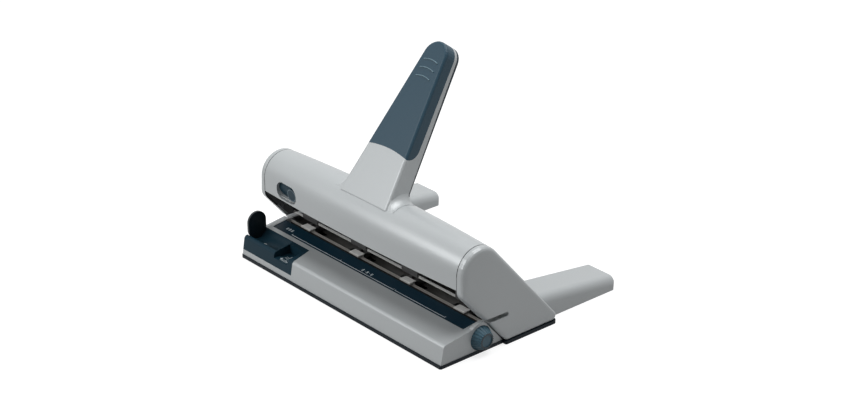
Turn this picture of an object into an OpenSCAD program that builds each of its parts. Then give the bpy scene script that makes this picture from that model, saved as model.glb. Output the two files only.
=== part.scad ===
// Adjustable four-hole lever punch: a wedge-shaped base, two slanted cheeks with a paper slot,
// a barrel-shaped lever between them, four sliding punch heads, a hole pattern selector,
// a pull-out side stop and two outrigger legs behind.
// The origin lies on the resting plane, straight below the lever's axis, in the middle.
// X runs to the right, Y to the back and Z up.

/* [Base] */
// Width of the base between its side faces
base_w = 314; // [300:1:340]
// Distance from the lever's axis forward to the foot of the front face
base_front = 51.4; // [48:0.2:60]
// Height of the top edge of the front face
front_top_h = 23.4; // [21:0.2:25]
// How far the front face leans back over its height
front_lean = 4; // [2:0.5:6]
// Height of the deck straight below the lever's axis
deck_h = 29.4; // [28.6:0.1:30]
// Wall of the plastic mouldings
wall = 2.6; // [2:0.1:3]
// Height of the dark rim of the chip pan
rim_h = 3.6; // [3:0.1:4]
// How far the rim stands out of the base
rim_out = 0.5; // [0.3:0.1:1]

/* [Cheeks] */
// Height of the lever's axis
axis_h = 85; // [83:0.5:95]
// Distance between the inner faces of the two cheeks
cheek_gap = 298.6; // [290:0.2:299]
// Radius of a cheek's round head, where it meets the lever
head_r = 24.8; // [24:0.1:26]
// Thickness of a cheek at its head
cheek_head_t = 8; // [6.8:0.1:9]
// Thickness of a cheek at its foot
cheek_foot_t = 12.4; // [11:0.1:14]
// Direction in which the back edge faces, above the horizontal
back_angle = 40.3; // [38:0.1:42]
// Direction in which the front edge faces, below the horizontal
front_angle = 41.3; // [40:0.1:43]
// Distance from the lever's axis to the slanted front edge
front_edge = 31.6; // [31:0.1:33]
// Height of the paper slot
slot_h = 5; // [4.6:0.1:6]
// Distance from the lever's axis back to the rear end of the paper slot
slot_end = 32; // [28:0.5:36]

/* [Lever] */
// How much fuller the drum is in the middle than at its ends
drum_bulge = 4.1; // [2:0.1:5]
// Wall of the drum
drum_wall = 2.6; // [2.2:0.1:3]
// Height of the straight skirt below the axis, at the front of the drum
skirt_h = 14; // [10:0.5:15]
// Rest angle of the arm above the horizontal
arm_angle = 54.1; // [50:0.1:58]
// Distance from the axis to the front face of the arm
arm_front = 27.3; // [26:0.1:28]
// Length of the arm from the axis to its tip
arm_len = 184.4; // [170:0.2:200]
// Width of the arm at the axis
arm_w = 75; // [66:0.5:78]
// Radius of the round tip of the arm
tip_r = 16; // [14:0.2:18]
// Thickness of the arm at its root
arm_t = 25; // [22:0.5:26]
// Thickness of the arm at its tip
tip_t = 20; // [18:0.5:21]
// Distance from the axis to the lower end of the soft pad
pad_from = 64.4; // [56:0.2:74]
// Depth of the soft pad on the sides of the arm
pad_depth = 13.5; // [11:0.5:15]
// Diameter of the lever's shaft
shaft_d = 8; // [7:0.5:9]

/* [Punching] */
// Distance between neighbouring holes
pitch = 80; // [78:1:82]
// Diameter of the punched holes
hole_d = 5.5; // [5:0.1:6]
// Distance from the hole line to the edge of the sheet
margin = 12; // [11:0.5:13]
// Distance from the lever's axis back to the hole line
hole_y = 16.8; // [16.5:0.1:17.2]
// Width of a punch head
head_w = 24; // [20:1:26]
// Width of the front tab of a punch head
tab_w = 15; // [12:0.2:17]
// How far a punch head can slide to either side
head_travel = 15; // [6:1:15]
// Distance from the lever's axis to the press bar
bar_offset = 18; // [17.6:0.1:18.2]
// Diameter of the press bar
bar_d = 6; // [5:0.5:6]

/* [Selector] */
// Height of the selector's axis
knob_h = 15.8; // [15:0.1:16.4]
// Radius of the knob where it leaves its collar
knob_r = 12.5; // [11:0.1:13]
// Radius of the knob's end face
knob_end_r = 8.2; // [7:0.1:9]
// Number of grooves around the knob
knob_flutes = 22; // [16:1:28]
// Radius of the collar around the knob
collar_r = 16.5; // [15.5:0.1:17]

/* [Side stop] */
// Distance from the left end to the right end of the dark guide insert, at its front
insert_len = 82; // [78:1:90]
// Width of the stop paddle
paddle_w = 22.4; // [18:0.2:24]
// Height of the top of the stop paddle above the table
paddle_top = 48.5; // [44:0.5:56]

/* [Legs] */
// Distance from the lever's axis back to the rear end of the legs
leg_end = 190; // [160:1:200]
// Width of a leg
leg_w = 40; // [36:1:44]
// Distance from the middle of the machine to the right side of the right leg
leg_right_side = 149.7; // [145:0.1:150]
// Distance from the middle of the machine to the right side of the left leg
leg_left_side = 118.4; // [112:0.1:122]
// Height of a leg at its rear end
leg_end_h = 13.6; // [12:0.2:18]
// Height of a leg where it meets the cheek
leg_root_h = 26; // [20:0.5:27]

/* [Hidden] */
$fn = 96;
big_fn = 1440;
hull_fn = 32;
chord_angle = 9;
overrun = 1;
gap = 0.3;
slip = 0.05;
seam = cheek_gap / 2;
side = base_w / 2;
front_top_y = front_lean - base_front;
deck_slope = (deck_h - front_top_h) / -front_top_y;
plate_t = 2;
steel_t = 1.5;
cheek_edge = wall;
cover_start = 7;
brow_r = 13;
foot_r = 5;
head_round = 4.6;
foot_round = 2.5;
groove = 1.2;
stop_y = hole_y + margin;
slot_z = deck_h;
slot_top = slot_z + slot_h;
front_round = 4;
side_round = 2;

// Heights and places that the rails and heads share
jaw_t = 5;
jaw_sink = 0.2;
jaw_top = deck_h - jaw_sink;
jaw_z = jaw_top - jaw_t;
tab_t = 1.2;
tab_y = 4;
rail_y = 7.5;
rail_top = jaw_top - tab_t - gap;
rail_z = jaw_z - gap - steel_t;
stop_t = 1.4;
column_y = stop_y + stop_t + gap;
column_t = 9;
head_back = column_y + column_t;
upper_z = slot_top + 2 * gap;
upper_t = 20;
upper_top = upper_z + upper_t;
beam_w = 5;
beam_h = 6;
beam_y = column_y + (column_t - beam_w) / 2;
beam_z = upper_z + (upper_t - beam_h) / 2;
rail_back = head_back + gap;
fence_y = 12;
fence_t = 1;
fence_z = slot_top + gap;
fence_h = 2.6;
fence_skin = 1.4;
head_clear = 0.15;

// Lever mechanism
bar_rest = 40;
bar_y = bar_offset * cos(bar_rest);
bar_z = axis_h + bar_offset * sin(bar_rest);
pin_top = bar_z - bar_d / 2 - gap;
pin_lift = 0.5;
pin_tip = upper_z + pin_lift;
cap_r = 4;
cap_t = 2;
pin_r = hole_d / 2;
spring_wire = 0.8;
spring_r = pin_r + spring_wire / 2 + gap;
bush_wall = 2;
bush_r = shaft_d / 2 + bush_wall;
hub_r = bush_r + bush_wall;
rib_t = 3;
rib_drop = 8;
lever_travel = 50;
skirt_step = 0.1;
hub_wall = 5;
drum_end = seam - gap;
drum_mid_r = head_r + drum_bulge;
arc_r = (pow(drum_end, 2) + pow(drum_bulge, 2)) / (2 * drum_bulge);
outer_pin_x = 3 / 2 * pitch + head_travel + pin_r;
rear_lip_angle = lever_travel - acos((hole_y + pin_r + 2 * gap) / (drum_r(outer_pin_x) - drum_wall));
torsion_wire = 1.6;
torsion_r = shaft_d / 2 + torsion_wire / 2 + 2 * gap;
torsion_w = 12;

// Arm
arm_taper = (arm_w / 2 - tip_r) / (arm_len - tip_r);
edge_r = 3;
back_t = 1.5;
arm_start = 12;
flare_r = 12;
pad_sag = 3.2;
ridge_r = 0.6;
ridge_count = 3;
ridge_step = 9;
ridge_w = 20;
ridge_arc_r = 30;

// Lock slider in the drum
lock_x = -110;
lock_angle = 187;
lock_w = 34;
lock_h = 18;
lock_plate_t = 1.6;
lock_rim = 3;
lock_button_r = 7;
lock_travel = 6;

// Strip, selector and knob
strip_front = -16.3;
strip_back = 0.5;
strip_t = 1.6;
strip_sink = 0.4;
shelf_back = 1.5;
selector_r = 5.5;
selector_y = wing_end(knob_h) - collar_r - groove;
journal_r = 4;
journal_len = 8;
knob_len = 12;
knob_sink = 2.8;
collar_len = side - seam;
collar_round = 3;
flute_r = 1;

// Side stop
insert_h = 9;
insert_back = -21.7;
insert_taper = 5;
channel_r = 12;
channel_y = -33.7;
channel_floor = 18.4;
channel_len = 50;
window_wall = 1.6;
window_sill = 17.4;
guide_w = 12.5;
guide_t = 2.6;
guide_z = 13.6;
guide_len = 84;
paddle_t = 2.6;
paddle_foot_w = 10;
paddle_in = 2.2;

// Pan, chassis and feet
pan_floor = 1.6;
tray_front = -14;
tray_back = 31;
tray_side = 146;
tray_h = 9;
chassis_z = 6;
leg_round = 3;
leg_side_round = 9;
leg_wall = 2.4;
pad_t = 1.4;
pad_r = 7;
screw_r = 1.6;
screw_head_r = 3.4;
screw_head_t = 1.8;
screw_len = 9;

// Points and outlines

// Where two straight sides meet, each given by the direction that it faces and its distance from zero
function meet(a, b) = [a[1] * sin(b[0]) - b[1] * sin(a[0]), b[1] * cos(a[0]) - a[1] * cos(b[0])]
    / sin(b[0] - a[0]);

function unit(v) = v / norm(v);

// The rear end of the cheeks, where the round of the foot reaches farthest back
rear_end = corner_centre(cheek_corners(0), 3, foot_r)[0] + foot_r;

// A convex outline with a round of its own at each corner, drawn as short chords
module rounded_outline(points, radii) {
    polygon([for (i = [0 : len(points) - 1]) each (radii[i] > 0 ? chord_corner(points, i, radii[i]) : [points[i]])]);
}

// The corner's round as chords that each turn by no more than the chord angle
function chord_corner(points, i, r) =
    let (centre = corner_centre(points, i, r),
         a = unit(tangent_point(points, i, -1, r) - centre),
         b = unit(tangent_point(points, i, 1, r) - centre),
         turn = acos(a * b), way = sign(a[0] * b[1] - a[1] * b[0]),
         from = atan2(a[1], a[0]), count = ceil(turn / chord_angle))
    [for (k = [0 : count]) let (at = from + way * turn * k / count) centre + r * [cos(at), sin(at)]];

// Half the angle between the two edges at corner i
function half_corner(points, i) =
    let (count = len(points),
         before = unit(points[(i + count - 1) % count] - points[i]),
         after = unit(points[(i + 1) % count] - points[i]))
    acos(before * after) / 2;

function tangent_point(points, i, side_of, r) =
    let (count = len(points), next = points[(i + count + side_of) % count])
    points[i] + unit(next - points[i]) * (r / tan(half_corner(points, i)));

function corner_centre(points, i, r) =
    let (count = len(points),
         before = unit(points[(i + count - 1) % count] - points[i]),
         after = unit(points[(i + 1) % count] - points[i]))
    points[i] + unit(before + after) * (r / sin(half_corner(points, i)));

// An outline drawn in Y and Z, carried along X
module along_x(from, to) {
    translate([from, 0, 0]) rotate([90, 0, 90]) linear_extrude(to - from) children();
}

// The same, turned about the X axis through the point at y and z
module round_x(y, z, r, from, to) {
    translate([from, y, z]) rotate([0, 90, 0]) cylinder(r = r, h = to - from);
}

module both_sides() {
    for (k = [0, 1]) mirror([k, 0, 0]) children();
}

// Height of the sloping deck at a place
function deck_at(y) = deck_h + deck_slope * y;

// Place of the leaning front face at a height
function front_at(z) = front_lean * z / front_top_h - base_front;

// Cheeks

// The straight sides of a cheek, drawn in by an inset, round the lever's axis
function cheek_sides(inset) = [[back_angle, head_r - inset], [180, head_r - inset],
    [180 + front_angle, front_edge - inset], [270, axis_h - rim_h - inset]];
function cheek_radii(inset) = [for (r = [head_r, brow_r, foot_r, foot_r]) r - inset];
function cheek_corners(inset) =
    let (s = cheek_sides(inset), count = len(s))
    [for (i = [0 : count - 1]) meet(s[i], s[(i + 1) % count] + (i == count - 1 ? [360, 0] : [0, 0]))];

module cheek_outline(inset) {
    translate([0, axis_h]) rounded_outline(cheek_corners(inset), cheek_radii(inset));
}

// Thickness of a cheek at a height
function cheek_t(z) = cheek_head_t + (cheek_foot_t - cheek_head_t) * (axis_h - z) / (axis_h - rim_h);

// A disc with a rounded outer rim, standing on its flat face
module soft_disc(r, t, round) {
    rotate_extrude($fn = hull_fn) intersection() {
        square([r, t]);
        union() {
            square([r, t - round]);
            square([r - round, t]);
            translate([r - round, t - round]) circle(round, $fn = hull_fn / 2);
        }
    }
}

module cheek_solid() {
    corners = cheek_corners(0);
    radii = cheek_radii(0);
    rounds = [head_round, head_round, foot_round, foot_round];
    hull() for (i = [0 : len(corners) - 1]) {
        centre = corner_centre(corners, i, radii[i]) + [0, axis_h];
        translate([seam, centre[0], centre[1]]) rotate([0, 90, 0])
            soft_disc(radii[i], cheek_t(centre[1]), rounds[i]);
    }
}

// The slot in which a sheet stands out past the cheek
module slot_cut(from, to) {
    reach = base_front + overrun;
    r = slot_h / 2;
    along_x(from, to) {
        translate([-reach, slot_z]) square([reach + slot_end - r, slot_h]);
        translate([slot_end - r, slot_z + r]) circle(r);
    }
}

module cheek() {
    difference() {
        cheek_solid();
        along_x(seam - overrun, seam + plate_t) cheek_outline(cheek_edge);
        slot_cut(seam, seam + cheek_foot_t + overrun);
        round_x(0, axis_h, shaft_d / 2 + gap, seam, seam + plate_t + steel_t);
        for (p = screw_places) round_x(p[0], p[1], screw_r, seam, seam + screw_len / 2 + plate_t);
    }
}

// Screw places on a cheek, as directions and distances from the lever's axis
screw_places = [[0, axis_h - head_r - brow_r], [slot_end + head_r, rail_z], [slot_end + brow_r, slot_top + upper_t]];

module cheek_right() {
    color("silver") cheek();
}

module cheek_left() {
    color("silver") mirror([1, 0, 0]) cheek();
}

module side_plate() {
    difference() {
        along_x(seam, seam + plate_t) cheek_outline(cheek_edge);
        slot_cut(seam - overrun, seam + plate_t + overrun);
        round_x(0, axis_h, shaft_d / 2, seam - overrun, seam + plate_t + overrun);
        for (p = screw_places) round_x(p[0], p[1], screw_r, seam - overrun, seam + plate_t + overrun);
    }
}

module side_plate_right() {
    color("gray") side_plate();
}

module side_plate_left() {
    color("gray") mirror([1, 0, 0]) side_plate();
}

module cheek_screws() {
    color("dimgray") both_sides() for (p = screw_places) {
        round_x(p[0], p[1], screw_r, seam, seam + screw_len / 2 + plate_t);
        round_x(p[0], p[1], screw_head_r, seam - screw_head_t, seam);
    }
}

// The slanted wall that closes the back between the cheeks
module rear_cover() {
    outer = head_r;
    inner = head_r - wall;
    reach = axis_h + rear_end;
    color("silver") difference() {
        intersection() {
            along_x(-seam, seam) cheek_outline(0);
            translate([0, 0, axis_h]) rotate([back_angle, 0, 0]) translate([-seam, inner, -reach])
                cube([cheek_gap, outer, reach - cover_start]);
        }
        barrel(2 * gap, -2 * gap);
        for (x = leg_screw_x) rear_screw(x);
    }
}

// Base

function base_points() = [[front_at(rim_h), rim_h], [front_top_y, front_top_h],
    [wing_end(deck_h), deck_at(wing_end(deck_h))], [wing_end(rim_h), rim_h]];

// Rear edge of the base's side walls, along the groove in front of a cheek
function wing_end(z) = meet([180 + front_angle, front_edge + groove], [270, axis_h - z])[0];

module base_outline(inset) {
    p = base_points();
    rounded_outline([p[0] + [inset, -overrun * sign(inset)], p[1] + [inset, -inset],
        p[2] + [0, -inset], p[3] + [0, -overrun * sign(inset)]],
        [0, front_round - inset / 2, 0, 0]);
}

module base_plan(out) {
    w = side + out;
    rounded_outline([[-w, -base_front - out], [w, -base_front - out], [w, rear_end], [-w, rear_end]],
        [side_round, side_round, 0, 0]);
}

module base_cover() {
    color("silver") difference() {
        union() {
            intersection() {
                linear_extrude(axis_h) base_plan(0);
                along_x(-side, side) base_outline(0);
            }
            collar();
        }
        hollow();
        strip_recess();
        translate([0, 0, insert_h]) linear_extrude(axis_h) insert_plan(slip);
        translate([-seam, shelf_back, 0]) cube([cheek_gap, rear_end, axis_h]);
        round_x(selector_y, knob_h, journal_r + slip, -side + wall / 2, side + overrun);
        round_x(selector_y, knob_h, knob_r + gap, side - knob_sink - gap, side + overrun);
        guide_slot(gap);
    }
}

// The space inside the base, open below
module hollow() {
    inner = side - wall;
    difference() {
        intersection() {
            along_x(-inner, inner) base_outline(wall);
            translate([-inner, -base_front, 0]) cube([2 * inner, base_front + shelf_back, axis_h]);
        }
        collar();
        bearing_block();
        strip_shelf();
        insert_bed();
    }
}

// The step that carries the scale strip
module strip_shelf() {
    along_x(-side, side) polygon([
        [strip_front - wall, deck_at(strip_front) ],
        [strip_front - wall, deck_at(strip_front) - strip_t - strip_sink - wall],
        [shelf_back, deck_at(shelf_back) - strip_t - strip_sink - wall],
        [shelf_back, deck_at(shelf_back)]]);
}

module strip_recess() {
    sink = strip_t + strip_sink;
    along_x(-seam, seam) polygon([
        [strip_front, deck_at(strip_front) - sink], [shelf_back + overrun, deck_at(shelf_back + overrun) - sink],
        [shelf_back + overrun, deck_at(shelf_back) + sink], [strip_front, deck_at(strip_front) + sink]]);
}

module scale_strip() {
    sink = strip_t + strip_sink;
    color("midnightblue") along_x(-seam, seam) polygon([
        [strip_front, deck_at(strip_front) - sink], [strip_back, deck_at(strip_back) - sink],
        [strip_back, deck_at(strip_back) - strip_sink], [strip_front, deck_at(strip_front) - strip_sink]]);
}

// The rounded collar round the knob
module collar() {
    intersection() {
        translate([side - collar_len, selector_y, knob_h]) rotate([0, 90, 0]) rotate_extrude() {
            square([collar_r - collar_round, collar_len]);
            translate([0, 2 * collar_round]) square([collar_r, collar_len - 3 * collar_round]);
            translate([collar_r - collar_round, collar_len - collar_round]) circle(collar_round);
            translate([collar_r - 2 * collar_round, 2 * collar_round]) circle(2 * collar_round);
        }
        translate([0, -base_front, rim_h]) cube([side, base_front + shelf_back + collar_r, axis_h]);
        along_x(0, side) polygon([[-base_front, 0], [wing_end(0), 0], [wing_end(axis_h / 2), axis_h / 2],
            [-base_front, axis_h / 2]]);
    }
}

// The bearing of the selector bar in the left wall
module bearing_block() {
    round_x(selector_y, knob_h, journal_r + wall, -side, -side + wall + journal_len / 2);
}

// Guide insert and side stop

// The plan of the insert, at the left of the front face
module insert_plan(grow) {
    polygon([
        [-side - overrun, -base_front - overrun],
        [insert_len - side + grow, -base_front - overrun],
        [insert_len - side + grow, front_top_y],
        [insert_len - insert_taper - side + grow, insert_back + grow],
        [-side - overrun, insert_back + grow]]);
}

module insert_block() {
    intersection() {
        translate([0, 0, insert_h]) linear_extrude(axis_h) insert_plan(0);
        along_x(-side, side) base_outline(0);
        linear_extrude(axis_h) base_plan(0);
    }
}

module insert_bed() {
    translate([-side, -base_front, insert_h - wall])
        cube([insert_len + wall, base_front + insert_back + wall, axis_h]);
}

module guide_slot(grow) {
    translate([-side - overrun, channel_y - guide_w / 2 - grow, guide_z - grow])
        cube([guide_len + overrun + wall, guide_w + 2 * grow, guide_t + 2 * grow]);
}

module guide_insert() {
    window_from = channel_len + window_wall - side;
    window_to = insert_len - insert_taper - wall - side;
    color("darkslategray") difference() {
        insert_block();
        round_x(channel_y, channel_floor + channel_r, channel_r, -side - overrun, channel_len - side);
        guide_slot(gap);
        translate([window_from, channel_y - guide_w / 2 - gap, guide_z])
            cube([window_to - window_from, guide_w + 2 * gap, axis_h]);
        translate([window_from, -base_front, window_sill])
            cube([window_to - window_from, base_front + channel_y, axis_h]);
        translate([-side - overrun, channel_y - paddle_foot_w / 2 - gap, guide_z])
            cube([overrun + paddle_in + paddle_t + gap, paddle_foot_w + 2 * gap, axis_h]);
    }
}

module guide_bar() {
    color("darkslategray") difference() {
        translate([paddle_in - side, channel_y - guide_w / 2, guide_z]) cube([guide_len - paddle_in - wall, guide_w, guide_t]);
        translate([-side, channel_y - paddle_foot_w / 2, guide_z + guide_t / 2])
            cube([paddle_in + paddle_t, paddle_foot_w, guide_t]);
    }
}

module stop_paddle() {
    r = paddle_w / 2;
    foot = guide_z + guide_t / 2;
    shoulder = channel_floor + gap + r;
    from = paddle_in - side;
    color("midnightblue") along_x(from, from + paddle_t) {
        translate([channel_y, paddle_top - r]) circle(r);
        translate([channel_y, shoulder]) circle(r);
        translate([channel_y - r, shoulder]) square([paddle_w, paddle_top - r - shoulder]);
        translate([channel_y - paddle_foot_w / 2, foot]) square([paddle_foot_w, shoulder - foot]);
    }
}

// Selector

module selector_bar() {
    inner = side - collar_len - gap;
    color("gray") difference() {
        union() {
            round_x(selector_y, knob_h, journal_r, -side + wall / 2 + gap, side - knob_sink);
            round_x(selector_y, knob_h, selector_r, -seam + journal_len, inner - wall);
        }
        for (x = head_places) for (turn = [0 : 90 : 270])
            translate([x, selector_y, knob_h]) rotate([turn, 0, 0])
                translate([turn / 90 * wall - head_travel, 0, selector_r - steel_t / 2]) cube([wall, selector_r, steel_t], center = true);
    }
}

module selector_knob() {
    taper = atan((knob_r - knob_end_r) / (knob_len - knob_sink));
    color("steelblue") translate([side - knob_sink, selector_y, knob_h]) rotate([0, 90, 0]) difference() {
        union() {
            cylinder(r = knob_r, h = knob_sink);
            translate([0, 0, knob_sink]) cylinder(r1 = knob_r, r2 = knob_end_r, h = knob_len - knob_sink);
        }
        for (i = [0 : knob_flutes - 1]) rotate([0, 0, 360 * i / knob_flutes])
            translate([knob_r + flute_r / 3, 0, knob_sink]) rotate([0, -taper, 0])
                cylinder(r = flute_r, h = 2 * knob_len, $fn = 24);
        translate([0, 0, knob_len - knob_sink / 4]) cylinder(r = knob_end_r - 2 * flute_r, h = knob_sink);
    }
}

// Drum of the lever

// Half outline of the barrel: radius to the right, length upward
module barrel_outline(grow, shorter) {
    half = drum_end - shorter;
    intersection() {
        translate([drum_mid_r - arc_r, 0]) circle(arc_r + grow, $fn = big_fn);
        translate([0, -half]) square([drum_mid_r + overrun, 2 * half]);
    }
}

module turned_x() {
    translate([0, 0, axis_h]) rotate([90, 0, 90]) children();
}

module barrel(grow, shorter) {
    turned_x() rotate_extrude() barrel_outline(grow, shorter);
}

// The shell from its rear lip over the top to the front
module drum_shell() {
    turned_x() rotate([0, 0, rear_lip_angle]) rotate_extrude(angle = 180 - rear_lip_angle)
        difference() {
            barrel_outline(0, 0);
            barrel_outline(-drum_wall, -overrun);
        }
    translate([0, 0, axis_h - skirt_h]) linear_extrude(skirt_h + overrun) intersection() {
        translate([0, arc_r - drum_mid_r]) difference() {
            circle(arc_r - skirt_step, $fn = big_fn);
            circle(arc_r - drum_wall + skirt_step, $fn = big_fn);
        }
        translate([-drum_end, -2 * drum_mid_r]) square([2 * drum_end, 2 * drum_mid_r]);
    }
}

// Radius of the barrel at a place along it
function drum_r(x) = drum_mid_r - arc_r + sqrt(arc_r * arc_r - x * x);

// A cross wall of the drum, at its place along the barrel
module drum_rib(from, to) {
    r = drum_r(max(abs(from), abs(to))) - drum_wall / 2;
    along_x(from, to) intersection() {
        translate([0, axis_h]) circle(r);
        translate([-r, axis_h - rib_drop]) square([2 * r, 2 * r]);
    }
}

module arm_frame() {
    translate([0, 0, axis_h]) rotate([arm_angle - 90, 0, 0]) children();
}

// Half width of the arm at a distance from the axis
function arm_half(s) = arm_w / 2 - arm_taper * s;

// The arm as one soft-edged body, in its own frame: length up, front face toward the viewer
module arm_solid() {
    hull() {
        translate([0, tip_t - arm_front, arm_len - tip_r]) rotate([90, 0, 0]) {
            soft_disc(tip_r, tip_t, edge_r);
            cylinder(r = tip_r - back_t / 2, h = tip_t - edge_r, $fn = hull_fn);
        }
        for (k = [-1, 1]) for (depth = [edge_r, arm_t - edge_r])
            translate([k * (arm_half(arm_start) - edge_r), depth - arm_front, arm_start]) sphere(edge_r, $fn = hull_fn);
    }
}

// The concave fillets where the sides of the arm run into the drum
module arm_roots() {
    inner_r = drum_mid_r - drum_wall / 2;
    outer_r = drum_mid_r + flare_r;
    foot = arm_half(outer_r);
    intersection() {
        both_sides() rotate([90, 0, 90]) rotate_extrude() difference() {
            translate([inner_r, foot - edge_r]) square([outer_r - inner_r, flare_r + edge_r]);
            translate([outer_r, foot + flare_r]) circle(flare_r);
        }
        translate([-arm_w, edge_r / 2 - arm_front, 0]) cube([2 * arm_w, arm_t - edge_r, 2 * drum_mid_r]);
    }
}

// The front part of the arm that the soft pad fills
module pad_zone() {
    reach = arm_len + overrun;
    bow_r = (pow(arm_half(pad_from), 2) + pow(pad_sag, 2)) / (2 * pad_sag);
    difference() {
        along_x(-arm_w, arm_w) {
            translate([-arm_front - overrun, pad_from + pad_depth]) square([pad_depth + overrun, reach]);
            translate([-arm_front, pad_from + pad_depth]) circle(pad_depth);
        }
        translate([0, -arm_front - 2 * pad_depth, pad_from + pad_sag - bow_r]) rotate([-90, 0, 0])
            cylinder(r = bow_r, h = 4 * pad_depth, $fn = big_fn);
    }
}

// The thin layer at the back of the arm
module back_zone() {
    slope = atan((arm_t - tip_t) / (arm_len - tip_r));
    translate([0, arm_t - arm_front - back_t, 0]) rotate([slope, 0, 0])
        translate([-arm_w, 0, drum_mid_r + edge_r]) cube([2 * arm_w, arm_t, arm_len + overrun]);
}

module lever_body() {
    color("silver") difference() {
        union() {
            drum_shell();
            lock_seat();
            difference() {
                union() {
                    drum_rib(-drum_end, hub_wall - drum_end);
                    drum_rib(drum_end - hub_wall, drum_end);
                    for (x = [-pitch, 0, pitch]) drum_rib(x - rib_t / 2, x + rib_t / 2);
                }
                round_x(bar_y, bar_z, bar_d / 2, -seam, seam);
            }
            difference() {
                arm_frame() difference() {
                    union() {
                        arm_solid();
                        arm_roots();
                    }
                    pad_zone();
                    back_zone();
                }
                round_x(0, axis_h, drum_mid_r - drum_wall / 2, -arm_w, arm_w);
            }
        }
        round_x(0, axis_h, bush_r, -seam, -drum_end + hub_wall + overrun);
        round_x(0, axis_h, bush_r, drum_end - hub_wall - overrun, seam);
        round_x(0, axis_h, shaft_d / 2 + gap, -seam, seam);
        lock_opening(0);
    }
}

module lever_grip() {
    color("darkslategray") arm_frame() {
        intersection() {
            arm_solid();
            pad_zone();
        }
        for (i = [0 : ridge_count - 1]) grip_ridge(arm_len - tip_r - ridge_step * (i + 1 / 2));
    }
}

// One raised curved rib across the pad
module grip_ridge(at) {
    turn = asin(ridge_w / 2 / ridge_arc_r);
    translate([0, -arm_front, at - ridge_arc_r]) rotate([90, 0, 0]) rotate([0, 0, 90 - turn])
        rotate_extrude(angle = 2 * turn) translate([ridge_arc_r, 0]) circle(ridge_r, $fn = 16);
}

module lever_back() {
    color("darkslategray") arm_frame() intersection() {
        arm_solid();
        back_zone();
    }
}

// Inner radius of the seat against which the lock slider runs, and the seat's outer radius in the wall
lock_far = lock_x - lock_w / 2 - lock_rim;
lock_near = lock_x + lock_w / 2 + lock_rim;
lock_r = drum_r(lock_far - lock_travel) - drum_wall - gap;
lock_seat_r = (drum_r(lock_far) + drum_r(lock_near) - drum_wall) / 2;

module lock_seat() {
    half = lock_h / 2 + lock_rim;
    intersection() {
        difference() {
            round_x(0, axis_h, lock_seat_r, lock_far, lock_near);
            round_x(0, axis_h, lock_r + slip, lock_far - overrun, lock_near + overrun);
        }
        translate([lock_far, 0, axis_h]) rotate([lock_angle - 180, 0, 0]) translate([0, -2 * lock_seat_r, -half])
            cube([lock_near - lock_far, 2 * lock_seat_r, 2 * half]);
    }
}

// The oval opening in the front of the drum
module lock_opening(grow) {
    r = lock_h / 2 + grow;
    reach = (lock_w - lock_h) / 2;
    translate([lock_x, 0, axis_h]) rotate([lock_angle - 180, 0, 0]) rotate([90, 0, 0]) linear_extrude(2 * drum_mid_r) {
        for (k = [-1, 1]) translate([k * reach, 0]) circle(r);
        translate([-reach, -r]) square([2 * reach, 2 * r]);
    }
}

module lock_slider() {
    color("midnightblue") {
        intersection() {
            turned_x() rotate_extrude() translate([lock_r - lock_plate_t, lock_x - lock_w])
                square([lock_plate_t, 2 * lock_w]);
            lock_opening(lock_rim);
        }
        translate([lock_x + lock_w / 2 - lock_h / 2, 0, axis_h]) rotate([lock_angle - 90, 0, 0])
            translate([0, 0, lock_r - lock_plate_t / 2]) cylinder(r = lock_button_r, h = drum_wall + lock_plate_t);
    }
}

module press_bar() {
    color("gainsboro") round_x(bar_y, bar_z, bar_d / 2, -drum_end + gap, drum_end - gap);
}

module shaft_bushes() {
    color("dimgray") both_sides() difference() {
        union() {
            round_x(0, axis_h, bush_r, drum_end - hub_wall, drum_end);
            round_x(0, axis_h, hub_r, drum_end - hub_wall - steel_t, drum_end - hub_wall);
        }
        round_x(0, axis_h, shaft_d / 2 + slip, drum_end - 2 * hub_wall, drum_end + overrun);
    }
}

module pivot_shaft() {
    color("gainsboro") round_x(0, axis_h, shaft_d / 2, -seam - plate_t, seam + plate_t);
}

// Springs: one unbroken wire, closed at the ends, with an optional straight leg at its top end
function coil_point(r, turns, h, u) = [r * cos(360 * turns * u), r * sin(360 * turns * u), h * u];

module coil(r, wire_r, turns, h, leg) {
    steps = turns * 12;
    sides = 6;
    last = [-sin(360 * turns), cos(360 * turns), 0];
    centres = concat([for (i = [0 : steps]) coil_point(r, turns, h, i / steps)],
        leg > 0 ? [coil_point(r, turns, h, 1) + leg * last] : []);
    angles = concat([for (i = [0 : steps]) 360 * turns * i / steps], leg > 0 ? [360 * turns] : []);
    points = [for (i = [0 : len(centres) - 1]) for (k = [0 : sides - 1])
        centres[i] + wire_r * cos(60 * k) * [cos(angles[i]), sin(angles[i]), 0] + wire_r * sin(60 * k) * [0, 0, 1]];
    rings = len(centres);
    skin = [for (i = [0 : rings - 2]) for (k = [0 : sides - 1])
        [i * sides + k, (i + 1) * sides + k, (i + 1) * sides + (k + 1) % sides, i * sides + (k + 1) % sides]];
    ends = [[for (k = [0 : sides - 1]) k], [for (k = [sides - 1 : -1 : 0]) (rings - 1) * sides + k]];
    polyhedron(points, concat(skin, ends), convexity = 10);
}

module torsion_springs() {
    hook = [beam_y + beam_w / 2, beam_z + beam_h - axis_h];
    reach = norm(hook);
    leg = sqrt(reach * reach - torsion_r * torsion_r) - torsion_wire / 2 - gap;
    turn = atan(hook[1] / hook[0]) + asin(torsion_r / reach);
    from = rib_t / 2 + gap + torsion_wire / 2 + torsion_w;
    color("gainsboro") both_sides() translate([from, 0, axis_h]) rotate([turn, 0, 0]) mirror([1, 0, 0])
        rotate([0, 90, 0]) coil(torsion_r, torsion_wire / 2, 6, torsion_w, leg);
}

// Rails

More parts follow.
